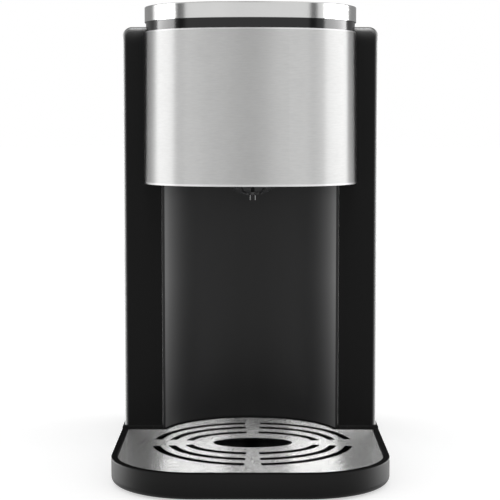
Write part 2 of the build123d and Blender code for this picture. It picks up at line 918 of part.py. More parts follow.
def make_hose(points, bend=0):
    """Hose along straight runs with one bend radius. Its bore slips over the nipples."""
    ring = Circle(hose_radius) - Circle(nipple_radius + contact_gap)
    if len(points) == 2:
        path = Line(*points)
    else:
        path = FilletPolyline(*points, radius=bend)
    first = Vector(*points[1]) - Vector(*points[0])
    return sweep(Plane(origin=points[0], z_dir=first) * ring, path)


def feed_points():
    """Route of the hose from the pump up the left column to the heater."""
    start_y = valve_y - pump_radius - hose_end_gap
    end_y = heater_point.Y + heater_radius + hose_end_gap
    inlet_z = tub_floor_z + heater_inlet_height
    return [
        (pump_outlet_x, start_y, pump_z), (pump_outlet_x, hose_column_y, pump_z),
        (heater_x, hose_column_y, inlet_z), (heater_x, end_y, inlet_z),
    ]


def coupling_face_x():
    """Where the coupling's side nipple starts."""
    return valve_x - coupling_radius


def suction_points():
    """Straight hose between coupling and flow meter."""
    return [
        (coupling_face_x() - hose_end_gap, valve_y, pump_z),
        (flow_x + flow_radius + hose_end_gap, valve_y, pump_z),
    ]


def link_points():
    """Straight hose between flow meter and pump."""
    return [
        (flow_x - flow_radius - hose_end_gap, valve_y, pump_z),
        (pump_face_x + hose_end_gap, valve_y, pump_z),
    ]


def outlet_points():
    """Straight hose between heater and separator."""
    reach = (outlet_point - heater_point).length
    return [
        pipe_point(heater_radius + hose_end_gap),
        pipe_point(reach - separator_radius - hose_end_gap),
    ]


def make_hose_clamps():
    """A clamp near each end of every hose."""
    clamps = Part()
    for route in (feed_points(), suction_points(), link_points(), outlet_points()):
        for end, inward in ((route[0], route[1]), (route[-1], route[-2])):
            along = (Vector(*inward) - Vector(*end)).normalized()
            start = Vector(*end) + along * hose_end_gap
            finish = start + along * clamp_width
            clamps += tube(
                hose_radius + clamp_thickness, hose_radius + contact_gap / 2,
                tuple(start), tuple(finish),
            )
    return clamps


def make_pump_head():
    """Pump chamber with its inlet on the axis and its outlet towards the front."""
    head = rod(pump_radius, (motor_x, valve_y, pump_z), (pump_face_x, valve_y, pump_z))
    head += rod(
        nipple_radius,
        (pump_face_x - contact_gap, valve_y, pump_z),
        (pump_face_x + nipple_length, valve_y, pump_z),
    )
    outlet_start = (pump_outlet_x, valve_y - pump_radius + contact_gap, pump_z)
    outlet_end = (pump_outlet_x, valve_y - pump_radius - nipple_length, pump_z)
    head += rod(nipple_radius, outlet_start, outlet_end)
    head -= rod(
        pump_cavity_radius,
        (motor_x, valve_y, pump_z), (pump_face_x - pump_front_wall, valve_y, pump_z),
    )
    head -= rod(
        nipple_bore,
        (pump_face_x - pump_front_wall - contact_gap, valve_y, pump_z),
        (pump_face_x + nipple_length, valve_y, pump_z),
    )
    return head - rod(nipple_bore, (pump_outlet_x, valve_y - rotor_radius, pump_z), outlet_end)


def make_pump_motor():
    """Motor can with a bore for the rotor's shaft."""
    rear_x = motor_x - motor_length
    motor = rod(motor_radius, (rear_x, valve_y, pump_z), (motor_x, valve_y, pump_z))
    motor += rod(
        motor_rear_radius,
        (rear_x - motor_rear_length, valve_y, pump_z), (rear_x, valve_y, pump_z),
    )
    return motor - rod(
        shaft_radius + bearing_gap,
        (motor_x - shaft_bore_depth, valve_y, pump_z), (motor_x, valve_y, pump_z),
    )


def make_pump_rotor():
    """Impeller with its blades and shaft."""
    disc_x = motor_x + rotor_gap
    face_x = disc_x + rotor_disc
    rotor = rod(rotor_radius, (disc_x, 0, 0), (face_x, 0, 0))
    rotor += rod(rotor_hub_radius, (face_x, 0, 0), (face_x + blade_height, 0, 0))
    rotor += rod(shaft_radius, (disc_x - shaft_length, 0, 0), (disc_x, 0, 0))
    blade = block(
        (face_x, face_x + blade_height),
        (rotor_hub_radius / 2, rotor_radius - blade_thickness / 2),
        (-blade_thickness / 2, blade_thickness / 2),
    )
    for index in range(blade_count):
        rotor += Rot(index * 360 / blade_count, 0, 0) * blade
    return Pos(0, valve_y, pump_z) * rotor


def make_pump_mounts():
    """Two rubber saddles that carry the motor on the pan."""
    saddles = Part()
    for share in mount_place_shares:
        x = motor_x - motor_length * share
        saddles += block(
            (x - mount_width / 2, x + mount_width / 2),
            (valve_y - mount_depth / 2, valve_y + mount_depth / 2),
            (pan_top_z, pump_z - motor_radius * mount_rise_share),
        )
    rear_x = motor_x - motor_length
    return saddles - rod(
        motor_radius + contact_gap, (rear_x, valve_y, pump_z), (motor_x, valve_y, pump_z)
    )


def make_flow_meter_case():
    """Round chamber with a pin for the wheel and a nipple on each side."""
    low = pump_z - flow_height / 2
    case = Pos(flow_x, valve_y) * prism(Circle(flow_radius), low, low + flow_height - flow_wall)
    left = (flow_x - flow_radius - nipple_length, valve_y, pump_z)
    right = (flow_x + flow_radius + nipple_length, valve_y, pump_z)
    case += rod(nipple_radius, left, right)
    case -= Pos(flow_x, valve_y) * prism(
        Circle(flow_radius - flow_wall), low + flow_wall, low + flow_height - flow_wall
    )
    case -= rod(nipple_bore, left, right)
    return case + Pos(flow_x, valve_y) * prism(
        Circle(flow_pin_radius), low + flow_wall / 2, low + flow_height - flow_wall - wheel_gap
    )


def make_flow_meter_cover():
    """Lid of the flow meter."""
    high = pump_z + flow_height / 2
    return Pos(flow_x, valve_y) * prism(Circle(flow_radius), high - flow_wall, high)


def make_flow_wheel():
    """Paddle wheel that turns with the flow."""
    low = pump_z - flow_height / 2 + flow_wall + wheel_gap
    high = pump_z + flow_height / 2 - flow_wall - wheel_gap
    wheel = prism(Circle(wheel_hub_radius), low, high)
    paddle = block(
        (wheel_hub_radius / 2, wheel_radius),
        (-paddle_thickness / 2, paddle_thickness / 2), (low, high),
    )
    for index in range(paddle_count):
        wheel += Rot(0, 0, index * 360 / paddle_count) * paddle
    wheel -= prism(Circle(flow_pin_radius + bearing_gap), low, high)
    return Pos(flow_x, valve_y) * wheel


def make_tank_coupling():
    """Socket under the tank: it takes the valve barrel, and its pin lifts the plunger."""
    under_z = seat_z - base_wall
    foot_z = pump_z - coupling_foot_drop
    socket_z = valve_foot_z - socket_floor_gap
    coupling = prism(Circle(coupling_radius), foot_z, under_z)
    coupling += prism(Circle(coupling_flange_radius), under_z - coupling_flange, under_z)
    coupling += prism(Circle(coupling_neck_radius), under_z, seat_z - running_gap)
    coupling -= prism(Circle(valve_barrel_radius + socket_gap), socket_z, seat_z)
    coupling -= prism(Circle(sump_radius), pump_z - nipple_radius, socket_z)
    pin_top = valve_foot_z + stem_rise - lift_pin_gap
    start_x = -coupling_radius - nipple_length
    coupling += rod(nipple_radius, (start_x, 0, pump_z), (-sump_radius - running_gap, 0, pump_z))
    coupling -= rod(nipple_bore, (start_x, 0, pump_z), (-sump_radius + running_gap, 0, pump_z))
    coupling += prism(Circle(lift_pin_radius), pump_z - nipple_radius - contact_gap, pin_top)
    return Pos(valve_x, valve_y) * coupling


def make_coupling_seal():
    """Flat ring on the floor of the socket."""
    socket_z = valve_foot_z - socket_floor_gap
    ring = Circle(valve_barrel_radius) - Circle(sump_radius + running_gap)
    return Pos(valve_x, valve_y) * prism(ring, socket_z, valve_foot_z - socket_seal_gap)


def tank_plan(inset):
    """Plan of the tank with its corner radii."""
    return rounded_plan(
        tank_width - 2 * inset, tank_front + inset, tank_back - inset,
        tank_front_radius - inset, tank_rear_radius - inset,
    )


def make_water_tank():
    """Open tank with a skirt, a rim, a grip recess in its back and two hinge ears."""
    tank = prism(tank_plan(tank_rim), tank_z, tank_top_z)
    tank = fillet(tank.faces().sort_by(Axis.Z)[0].edges(), tank_bottom_radius)
    tank += prism(tank_plan(0), tank_top_z - tank_rim_height, tank_top_z)
    grip_z = tank_top_z - tank_grip_drop
    grip = Pos(0, grip_z) * SlotOverall(tank_grip_width, tank_grip_height)
    back = tank_back - tank_rim
    inset = tank_rim + tank_wall
    tank -= prism(tank_plan(inset), tank_inside_z, tank_top_z)
    pocket = Pos(0, grip_z) * SlotOverall(
        tank_grip_width + 2 * tank_wall, tank_grip_height + 2 * tank_wall
    )
    tank += slab(pocket, back - tank_grip_depth - tank_wall, back - tank_wall / 2)
    tank -= slab(grip, back - tank_grip_depth, back + overrun)
    tank -= prism(tank_plan(inset), tank_z - overrun, tank_floor_z)
    tank -= Pos(valve_x, valve_y) * prism(
        Circle(valve_barrel_radius + valve_hole_gap), tank_floor_z, tank_inside_z
    )
    for side in (-1, 1):
        inner = side * (hinge_half_length + hinge_side_gap)
        outer = side * (hinge_half_length + hinge_side_gap + ear_width)
        ear = rod(hinge_radius, (inner, hinge_y, hinge_z), (outer, hinge_y, hinge_z))
        ear += block(
            (inner, outer), (hinge_y - hinge_radius, tank_back - inset + contact_gap),
            (hinge_z - ear_drop, tank_top_z),
        )
        ear += block(
            (inner, outer), (hinge_y - hinge_radius, hinge_y + hinge_radius),
            (tank_top_z, hinge_z),
        )
        tank += ear - rod(
            pin_radius + bearing_gap, (inner, hinge_y, hinge_z), (outer, hinge_y, hinge_z)
        )
    return tank


def make_lid_pin():
    """Hinge pin of the lid with a small head at each end."""
    reach = hinge_half_length + hinge_side_gap + ear_width
    pin = rod(pin_radius, (-reach, hinge_y, hinge_z), (reach, hinge_y, hinge_z))
    for side in (-1, 1):
        pin += rod(
            pin_radius + running_gap,
            (side * (reach + contact_gap), hinge_y, hinge_z),
            (side * (reach + contact_gap + pin_head_length), hinge_y, hinge_z),
        )
        pin += rod(
            pin_radius,
            (side * reach, hinge_y, hinge_z), (side * (reach + contact_gap), hinge_y, hinge_z),
        )
    return pin


def make_tank_lid():
    """Lid as a shallow cap with an inner skirt, a finger scoop and a hinge barrel."""
    low = tank_top_z + running_gap
    lid_back = hinge_y + hinge_lid_overhang
    behind = block(
        (-tank_width, tank_width), (lid_back, lid_back + tank_width), (low - overrun, body_top_z)
    )
    lid = prism(tank_plan(0), low, body_top_z) - behind
    hollow = prism(tank_plan(lid_wall), low, body_top_z - lid_plate)
    lid -= hollow - block(
        (-tank_width, tank_width), (lid_back - lid_wall, lid_back + tank_width),
        (low - overrun, body_top_z),
    )
    skirt_inset = tank_rim + tank_wall + lid_skirt_gap
    skirt = tank_plan(skirt_inset) - tank_plan(skirt_inset + lid_wall)
    skirt_solid = prism(skirt, low - lid_skirt, body_top_z - lid_plate)
    lid += skirt_solid - block(
        (-tank_width, tank_width), (hinge_y - lid_skirt_back, tank_back),
        (low - overrun, body_top_z + overrun),
    )
    lid += rod(
        hinge_radius,
        (-hinge_half_length, hinge_y, hinge_z), (hinge_half_length, hinge_y, hinge_z),
    )
    for side in (-1, 1):
        inner = side * hinge_half_length
        outer = side * (hinge_half_length + 2 * hinge_side_gap + ear_width + 2 * pin_head_length)
        lid -= block(
            (inner, outer), (hinge_y - hinge_radius - ear_notch, tank_back),
            (low - overrun, body_top_z + overrun),
        )
    lid -= rod(
        pin_radius + bearing_gap,
        (-hinge_half_length, hinge_y, hinge_z), (hinge_half_length, hinge_y, hinge_z),
    )
    scoop_radius = (lid_scoop_radius**2 + lid_scoop_depth**2) / (2 * lid_scoop_depth)
    scoop = Pos(0, tank_front, body_top_z - lid_scoop_depth + scoop_radius) * Sphere(scoop_radius)
    return lid - scoop


def make_valve_body():
    """Barrel and flange of the tank valve."""
    valve = prism(Circle(valve_barrel_radius), valve_foot_z, tank_inside_z)
    valve += prism(Circle(valve_flange_radius), tank_inside_z, valve_z)
    valve -= prism(Circle(valve_bore), valve_foot_z, valve_z)
    return Pos(valve_x, valve_y) * valve


def make_valve_seal():
    """Rubber ring that the plunger closes on."""
    ring = Circle(seal_radius) - Circle(seal_bore)
    return Pos(valve_x, valve_y) * prism(ring, valve_z, valve_z + seal_thickness)


def make_valve_plunger():
    """Stem with a flat head. The coupling's pin pushes it up."""
    head_z = valve_z + seal_thickness + running_gap
    plunger = prism(Circle(plunger_radius), head_z, head_z + plunger_thickness)
    plunger += prism(Circle(stem_radius), valve_foot_z + stem_rise, head_z)
    return Pos(valve_x, valve_y) * plunger


def make_valve_strainer():
    """Cage over the valve with upright slots. It keeps scale back and holds the spring."""
    high = valve_z + cage_height
    cage = prism(Circle(cage_radius), valve_z, high)
    cage -= prism(Circle(cage_radius - cage_wall), valve_z, high - cage_wall)
    slot = block(
        (0, cage_radius + overrun), (-cage_slot_width / 2, cage_slot_width / 2),
        (valve_z + cage_slot_width, high - cage_slot_width - cage_wall),
    )
    for index in range(cage_slot_count):
        cage -= Rot(0, 0, index * 360 / cage_slot_count) * slot
    return Pos(valve_x, valve_y) * cage


def make_valve_spring():
    """Coil spring between the plunger and the top of the cage."""
    head_z = valve_z + seal_thickness + running_gap + plunger_thickness
    low = head_z + spring_wire_radius
    rise = valve_z + cage_height - cage_wall - spring_wire_radius - low
    pieces = 4 * spring_turns

    def place(step):
        angle = 2 * math.pi * spring_turns * step / pieces
        return (
            spring_radius * math.cos(angle), spring_radius * math.sin(angle),
            low + rise * step / pieces,
        )

    arcs = [
        ThreePointArc(place(index), place(index + 1 / 2), place(index + 1))
        for index in range(pieces)
    ]
    path = Wire([arc.edge() for arc in arcs])
    start = Plane(origin=place(0), z_dir=path % 0)
    gap = rise / spring_turns - 2 * spring_wire_radius
    print("valve spring: least gap between turns", round(gap, 2), "mm")
    spring = sweep(start * Circle(spring_wire_radius), path)
    return Pos(valve_x, valve_y) * spring


def power_post_places():
    """Places of the posts that carry the power board, as Y and Z."""
    low_z = deck_z + power_board_raise
    back_y = power_board_front + power_board_depth
    ys = (power_board_front + power_post_inset, back_y - power_post_inset)
    zs = (low_z + power_post_inset, low_z + power_board_height - power_post_inset)
    return [(y, z) for y in ys for z in zs]


def power_board_x():
    """The inner face of the power board."""
    return body_width / 2 - body_wall - power_post - board_thickness


def make_power_board():
    """Circuit board upright in the right column."""
    x = power_board_x()
    low_z = deck_z + power_board_raise
    return block(
        (x, x + board_thickness),
        (power_board_front, power_board_front + power_board_depth),
        (low_z, low_z + power_board_height),
    )


def make_power_parts():
    """Relay, capacitor, choke and terminal block on the power board."""
    parts = Part()
    x = power_board_x()
    low_z = deck_z + power_board_raise
    placed = (
        (relay_size, relay_place_shares),
        (coil_size, coil_place_shares),
        (block_size, block_place_shares),
    )
    for size, shares in placed:
        y = power_board_front + power_board_depth * shares[0]
        z = low_z + power_board_height * shares[1]
        parts += block(
            (x - size[0], x), (y - size[1] / 2, y + size[1] / 2), (z - size[2] / 2, z + size[2] / 2)
        )
    y = power_board_front + power_board_depth * capacitor_place_shares[0]
    z = low_z + power_board_height * capacitor_place_shares[1]
    return parts + rod(capacitor_radius, (x - capacitor_length, y, z), (x, y, z))


def make_cord_gland():
    """Gland for the cord. Its square neck slides up into the notch of the rear wall."""
    flange_back = base_rear + gland_flange
    neck_x = (gland_x - gland_neck_half, gland_x + gland_neck_half)
    neck_foot_z = pan_top_z + contact_gap
    gland = block(
        neck_x, (base_rear - gland_depth, base_rear), (neck_foot_z, gland_z + gland_neck_half)
    )
    gland += block(neck_x, (base_rear - base_wall, base_rear), (pan_z, neck_foot_z))
    gland += rod(
        gland_flange_radius, (gland_x, base_rear, gland_z), (gland_x, flange_back, gland_z)
    )
    return gland - rod(
        gland_bore,
        (gland_x, base_rear - gland_depth, gland_z), (gland_x, flange_back, gland_z),
    )


pieces = {
    "base_pan": make_base_pan(),
    "base_housing": make_base_housing(),
    "tray_dock": make_tray_dock(),
    "rubber_feet": make_rubber_feet(),
    "base_screws": make_base_screws(),
    "drip_tray": make_drip_tray(),
    "drip_grate": make_drip_grate(),
    "body_shell": make_body_shell(),
    "rear_cover": make_rear_cover(),
    "body_screws": make_body_screws(),
    "niche_panel": make_niche_panel(),
    "head_band": make_head_band(),
    "head_tub": make_head_tub(),
    "top_frame": make_top_frame(),
    "top_ring": make_top_ring(),
    "control_panel": make_control_panel(),
    "display_board": make_display_board(),
    "steam_separator": make_steam_separator(),
    "separator_lid": make_separator_lid(),
    "nozzle_dome": make_nozzle_dome(),
    "spout_tip": make_spout_tip(),
    "heater_body": make_heater_body(),
    "heater_caps": make_heater_caps(),
    "heater_terminals": make_heater_terminals(),
    "thermal_cutouts": make_thermal_cutouts(),
    "outlet_hose": make_hose(outlet_points()),
    "feed_hose": make_hose(feed_points(), hose_bend),
    "suction_hose": make_hose(suction_points()),
    "link_hose": make_hose(link_points()),
    "hose_clamps": make_hose_clamps(),
    "pump_motor": make_pump_motor(),
    "pump_head": make_pump_head(),
    "pump_rotor": make_pump_rotor(),
    "pump_mounts": make_pump_mounts(),
    "flow_meter_case": make_flow_meter_case(),
    "flow_meter_cover": make_flow_meter_cover(),
    "flow_wheel": make_flow_wheel(),
    "tank_coupling": make_tank_coupling(),
    "coupling_seal": make_coupling_seal(),
    "water_tank": make_water_tank(),
    "tank_lid": make_tank_lid(),
    "lid_pin": make_lid_pin(),
    "valve_body": make_valve_body(),
    "valve_seal": make_valve_seal(),
    "valve_plunger": make_valve_plunger(),
    "valve_strainer": make_valve_strainer(),
    "valve_spring": make_valve_spring(),
    "power_board": make_power_board(),
    "power_parts": make_power_parts(),
    "cord_gland": make_cord_gland(),
}

os.makedirs("parts", exist_ok=True)
for name, piece in pieces.items():
    export_step(piece, f"parts/{name}.step")
print(len(pieces), "nodes written")
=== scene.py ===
# %% [markdown]
# # A hot water dispenser, dressed for its picture
# The shapes come from a packed CAD model and stay as they are. This lesson adds
# what CAD can't hold: the camera, the studio, and a finish for every piece, each
# worked out by formula from the place of a point on the piece.

# %% Load the frame
import math

import bpy
import numpy as np
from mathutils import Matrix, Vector

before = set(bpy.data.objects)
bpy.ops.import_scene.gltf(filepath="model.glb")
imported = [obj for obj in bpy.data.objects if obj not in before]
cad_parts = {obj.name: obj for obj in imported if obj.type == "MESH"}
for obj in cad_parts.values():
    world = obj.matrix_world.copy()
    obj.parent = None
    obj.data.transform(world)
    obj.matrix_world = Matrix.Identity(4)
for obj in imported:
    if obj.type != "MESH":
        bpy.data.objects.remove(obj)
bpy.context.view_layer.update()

# %% [markdown]
# The picture was taken from a little above the middle of the object, a metre away,
# with a slight tilt down. A long lens keeps the wings almost parallel. The place,
# tilt and lens below were fitted to the widths and heights of the housing.

# %% Camera
IMAGE_SIDE = 500
SENSOR = 36.0
FOCAL_PIXELS = 1483.0
CAMERA_PLACE = (-0.00027, -1.009, 0.2275)
CAMERA_TILT = math.radians(90 - 4.93)

camera_data = bpy.data.cameras.new("camera")
camera_data.sensor_width = SENSOR
camera_data.lens = FOCAL_PIXELS / IMAGE_SIDE * SENSOR
camera_data.clip_start = 0.01
camera_data.clip_end = 100
camera = bpy.data.objects.new("camera", camera_data)
camera.location = CAMERA_PLACE
camera.rotation_euler = (CAMERA_TILT, 0, 0)
bpy.context.scene.collection.objects.link(camera)
bpy.context.scene.camera = camera
bpy.context.scene.view_settings.view_transform = "Standard"
print("lens:", round(camera_data.lens, 1), "mm")

# %% [markdown]
# A finish is a sum of patterns, so the shader nodes are written as sums. The class
# below wraps one socket, and a plus or a times between two of them adds the Math
# node that does it. The operators that stand after a plain number are there too.

# %% Shader sums
class Pattern:
    """One number or vector that a shader works out at each point of a piece."""

    def __init__(self, tree, socket):
        self.tree, self.socket = tree, socket

    def math(self, operation, other=0.0, swapped=False):
        """A Math node on this pattern and another one, or a number."""
        first, second = (other, self) if swapped else (self, other)
        return self.tree.node(
            "ShaderNodeMath", {"operation": operation}, {0: first, 1: second}
        )

    def __add__(self, other):
        return self.math("ADD", other)

    def __sub__(self, other):
        return self.math("SUBTRACT", other)

    def __rsub__(self, other):
        return self.math("SUBTRACT", other, swapped=True)

    def __mul__(self, other):
        return self.math("MULTIPLY", other)

    def __truediv__(self, other):
        return self.math("DIVIDE", other)

    def __rtruediv__(self, other):
        return self.math("DIVIDE", other, swapped=True)

    def __lt__(self, other):
        return self.math("LESS_THAN", other)

    def __gt__(self, other):
        return self.math("GREATER_THAN", other)

    __radd__ = __add__
    __rmul__ = __mul__


print("a sum of patterns adds Math nodes")

# %% [markdown]
# Every other node comes from one method. It takes the node's type, its settings,
# and what goes into its sockets, and hands back one output as a pattern. The
# methods under it read where a point is and which way the surface faces there.

# %% A tree of nodes
class Tree:
    """The nodes of a material or of the world, with one way to add a node."""

    def __init__(self, nodes_and_links):
        self.tree = nodes_and_links
        self.tree.nodes.clear()

    def node(self, kind, settings=None, sockets=None, out=0):
        """Adds a node: its settings first, then the values or links of its sockets."""
        node = self.tree.nodes.new(kind)
        for name, value in (settings or {}).items():
            setattr(node, name, value)
        for name, value in (sockets or {}).items():
            if isinstance(value, Pattern):
                self.tree.links.new(value.socket, node.inputs[name])
            else:
                node.inputs[name].default_value = value
        return Pattern(self, node.outputs[out]) if len(node.outputs) else node

    def vectors(self, operation, first, second, out="Vector"):
        """A Vector Math node on two vectors."""
        settings = {"operation": operation}
        return self.node("ShaderNodeVectorMath", settings, {0: first, 1: second}, out)

    def part(self, vector, axis):
        """One of the three numbers of a vector, by the name of its axis."""
        return self.node("ShaderNodeSeparateXYZ", {}, {"Vector": vector}, out=axis)

    def point(self):
        """The point in metres, in the object's own frame."""
        return self.node("ShaderNodeTexCoord", out="Object")

    def normal(self):
        """The way that the surface faces, as a vector one long."""
        return self.node("ShaderNodeNewGeometry", out="Normal")

    def seen(self):
        """1 for what is seen directly, in gloss or through glass, and else 0."""
        eye, gloss, glass = (
            self.node("ShaderNodeLightPath", out=name)
            for name in ("Is Camera Ray", "Is Glossy Ray", "Is Transmission Ray")
        )
        return eye.math("MAXIMUM", gloss).math("MAXIMUM", glass)


print("a tree adds every other node")

# %% [markdown]
# The patterns of this object's finishes are all made of a few shapes: cloudy noise,
# scratches in rows, a rise over a height, and masks by which way the surface faces.
# They read the object's own metres, so they ride with a piece that moves.

# %% Patterns of the finishes
FLAT_SIDE = 0.99
FLAT_TOP = 0.7
RIM_POWER = 1.5
ROW_SHIFT = 7.0


class Finish(Tree):
    """The nodes of one material, with the patterns that the finishes share."""

    def upright_rims(self):
        """Rises to the power RIM_POWER as a rounded upright edge turns to the side,
        and is 0 on a flat front, on a flat side and on what faces up."""
        aside = self.part(self.normal(), "X").math("ABSOLUTE")
        upright = 1.0 - self.part(self.normal(), "Z").math("ABSOLUTE")
        rim = aside.math("POWER", RIM_POWER) * (aside < FLAT_SIDE)
        return rim * upright * upright

    def facing_up(self):
        """1 where the surface faces up, and else 0."""
        return self.part(self.normal(), "Z") > FLAT_TOP

    def place(self, stretch=(1, 1, 1)):
        """The point in metres, multiplied by stretch along each axis."""
        return self.node(
            "ShaderNodeMapping", {}, {"Vector": self.point(), "Scale": stretch}
        )

    def noise(self, per_metre, stretch=(1, 1, 1), detail=2.0):
        """Smooth random values from 0 to 1, about per_metre blobs to the metre."""
        sockets = {"Vector": self.place(stretch), "Scale": per_metre, "Detail": detail}
        return self.node("ShaderNodeTexNoise", {}, sockets)

    def scratches(self, along, across, length, pitch):
        """Random values in long cells: one for each scratch, as long as length and one
        pitch wide. Every row of cells is shifted by its own random share of a length."""
        run = self.vectors("DOT_PRODUCT", self.point(), along, out="Value")
        step = self.vectors("DOT_PRODUCT", self.point(), across, out="Value")
        row = (step / pitch).math("FLOOR")
        in_one, in_two = {"noise_dimensions": "1D"}, {"noise_dimensions": "2D"}
        shift = self.node("ShaderNodeTexWhiteNoise", in_one, {"W": row})
        cell = (run / length + shift * ROW_SHIFT).math("FLOOR")
        both = self.node("ShaderNodeCombineXYZ", {}, {"X": row, "Y": cell})
        return self.node("ShaderNodeTexWhiteNoise", in_two, {"Vector": both})

    def edge_on(self, power):
        """0 where the surface is seen square on, rising to 1 where it is seen edge on."""
        facing = self.node("ShaderNodeLayerWeight", {}, {"Blend": 0.5}, out="Facing")
        return facing.math("POWER", power)

    def rise(self, low, high):
        """0 below one height and 1 above another, in metres, with a straight rise."""
        share = (self.part(self.point(), "Z") - low) / (high - low)
        return share.math("MAXIMUM", 0.0).math("MINIMUM", 1.0)

    def blend(self, factor, first, second):
        """A colour between two colours. Sockets 0, 6 and 7 are the factor and both
        colours of the Mix node, and output 2 is their mixture."""
        return self.node(
            "ShaderNodeMix", {"data_type": "RGBA"}, {0: factor, 6: first, 7: second}, 2
        )

    def spread(self, value, low, high):
        """A value from 0 to 1, spread out between low and high."""
        return value * (high - low) + low

    def bump(self, height, depth, normal=None):
        """Tilts the surface as if it stood up by height times depth, in metres."""
        sockets = {"Height": height, "Distance": depth, "Strength": 1.0}
        if normal is not None:
            sockets["Normal"] = normal
        return self.node("ShaderNodeBump", {}, sockets)

    def tilt(self, axis, amount):
        """The surface's normal plus an axis times an amount, made one long again."""
        sockets = {0: axis, "Scale": amount}
        push = self.node("ShaderNodeVectorMath", {"operation": "SCALE"}, sockets)
        leant = self.vectors("ADD", self.normal(), push)
        return self.node("ShaderNodeVectorMath", {"operation": "NORMALIZE"}, {0: leant})


def grey(value):
    """A plain grey as a colour."""
    return (value, value, value, 1)


def scaled(colour, factor):
    """A colour times a number, with no part of it above 1."""
    return tuple(min(1, part * factor) for part in colour[:3]) + (1,)


print("patterns:", [name for name in vars(Finish) if not name.startswith("_")])

# %% [markdown]
# A material is one Principled shader. Its build function works out the inputs that
# change over the surface, and the rest are plain numbers on the shader's sockets.
# A painted sheen is a second, paler layer, mixed over the first one where it is seen edge
# on.

# %% Materials
materials = {}


def material(name, build, **constants):
    """A Principled material. build returns its changing inputs, and constants are set.
    A painted sheen, given as its share and its colour, is mixed over them as a second
    layer."""
    made = bpy.data.materials.new(name)
    made.use_nodes = True
    finish = Finish(made.node_tree)
    sockets = {**constants, **build(finish)}
    haze, pale = sockets.pop("haze", (None, None))
    shader = finish.node("ShaderNodeBsdfPrincipled", {}, sockets)
    if haze:
        sockets["Base Color"] = pale
        layer = finish.node("ShaderNodeBsdfPrincipled", {}, sockets)
        shader = finish.node("ShaderNodeMixShader", {}, {0: haze, 1: shader, 2: layer})
    finish.node("ShaderNodeOutputMaterial", {}, {"Surface": shader})
    materials[name] = made


print("materials so far:", len(materials))

# %% [markdown]
# The studio is a white room. The world is plain white to the camera, to gloss and
# to glass, and a little dimmer as a light. The pale floor adds a share of its own
# glow for the camera, so it reads as white paper and still keeps a soft shadow.

# %% World
WORLD_LIGHT = 0.62

world = bpy.data.worlds.new("white_room")
bpy.context.scene.world = world
world.use_nodes = True
room = Tree(world.node_tree)
strength = room.seen() * (1 - WORLD_LIGHT) + WORLD_LIGHT
light = room.node("ShaderNodeBackground", {}, {"Color": grey(1), "Strength": strength})
room.node("ShaderNodeOutputWorld", {}, {"Surface": light})
print("world light:", WORLD_LIGHT)

# %% Floor
FLOOR_SIDE = 24.0
PAPER_GREY = 0.8
PAPER_GLOW = 0.53


def flat_sheet(name, centre, across, up):
    """A flat sheet: each corner is the centre plus or minus half of both edges."""
    centre, across, up = (np.array(vector, dtype=float) for vector in (centre, across, up))
    signs = np.array([(-1, -1), (1, -1), (1, 1), (-1, 1)])
    corners = centre + signs[:, :1] * across / 2 + signs[:, 1:] * up / 2
    mesh = bpy.data.meshes.new(name)
    mesh.from_pydata(corners.tolist(), [], [(0, 1, 2, 3)])
    sheet = bpy.data.objects.new(name, mesh)
    bpy.context.scene.collection.objects.link(sheet)
    return sheet


floor = flat_sheet("floor", (0, 0, 0), (FLOOR_SIDE, 0, 0), (0, FLOOR_SIDE, 0))
paper = bpy.data.materials.new("white_paper")
paper.use_nodes = True
sheet = Tree(paper.node_tree)
matt = sheet.node("ShaderNodeBsdfDiffuse", {}, {"Color": grey(PAPER_GREY)})
glow = sheet.node(
    "ShaderNodeEmission", {}, {"Color": grey(1), "Strength": sheet.seen() * PAPER_GLOW}
)
both = sheet.node("ShaderNodeAddShader", {}, {0: matt, 1: glow})
sheet.node("ShaderNodeOutputMaterial", {}, {"Surface": both})
paper.cycles.emission_sampling = "NONE"
floor.data.materials.append(paper)
print("floor:", FLOOR_SIDE, "m wide")

# %% [markdown]
# Steel only shows what stands round it. Two wide, low soft boxes at the sides of
# the head give the bright columns near the edges of the steel band. A lamp's place
# is given as an angle round the head, 0 towards the camera and 90 to the right.

# %% Soft boxes
HEAD_PLACE = Vector((0.0, -0.03, 0.24))
LAMP_POWER = 4.0


def soft_box(name, place, aim, size, strength):
    """A flat lamp that faces aim. Its power is LAMP_POWER times its area and strength."""
    lamp = bpy.data.lights.new(name, "AREA")
    lamp.shape = "RECTANGLE"
    lamp.size, lamp.size_y = size
    lamp.energy = LAMP_POWER * size[0] * size[1] * strength
    holder = bpy.data.objects.new(name, lamp)
    holder.location = place
    way = Vector(aim) - Vector(place)
    holder.rotation_euler = way.to_track_quat("-Z", "Y").to_euler()
    holder.visible_camera = False
    bpy.context.scene.collection.objects.link(holder)
    return holder


def round_head(azimuth, distance, height):
    """A point at an angle round the head, counted from the camera's side: the sine of
    the angle times the distance to the right, and the cosine times it to the front."""
    angle = math.radians(azimuth)
    right, ahead = distance * math.sin(angle), distance * math.cos(angle)
    return (HEAD_PLACE.x + right, HEAD_PLACE.y - ahead, height)


SIDE_DISTANCE, SIDE_HEIGHT, SIDE_STRENGTH, SIDE_TALL = 0.95, 0.355, 8.0, 0.07
for side, azimuth, width in (("left", -95.5, 0.61), ("right", 98, 0.80)):
    place = round_head(azimuth, SIDE_DISTANCE, SIDE_HEIGHT)
    soft_box(f"side_box_{side}", place, HEAD_PLACE, (width, SIDE_TALL), SIDE_STRENGTH)
print("side boxes:", SIDE_DISTANCE, "m from the head")

# %% [markdown]
# Black plastic and flat steel need lamps that would spoil the band beside them.
# Light linking gives such a lamp the names of the pieces that it lights. The plate
# has three upright strips over it, one for each of its bright fields and one
# between them. The housing's rims, the tray's corners, the bay and the spout each
# have a pair of boxes, and one more box over the top lights the housing's top.

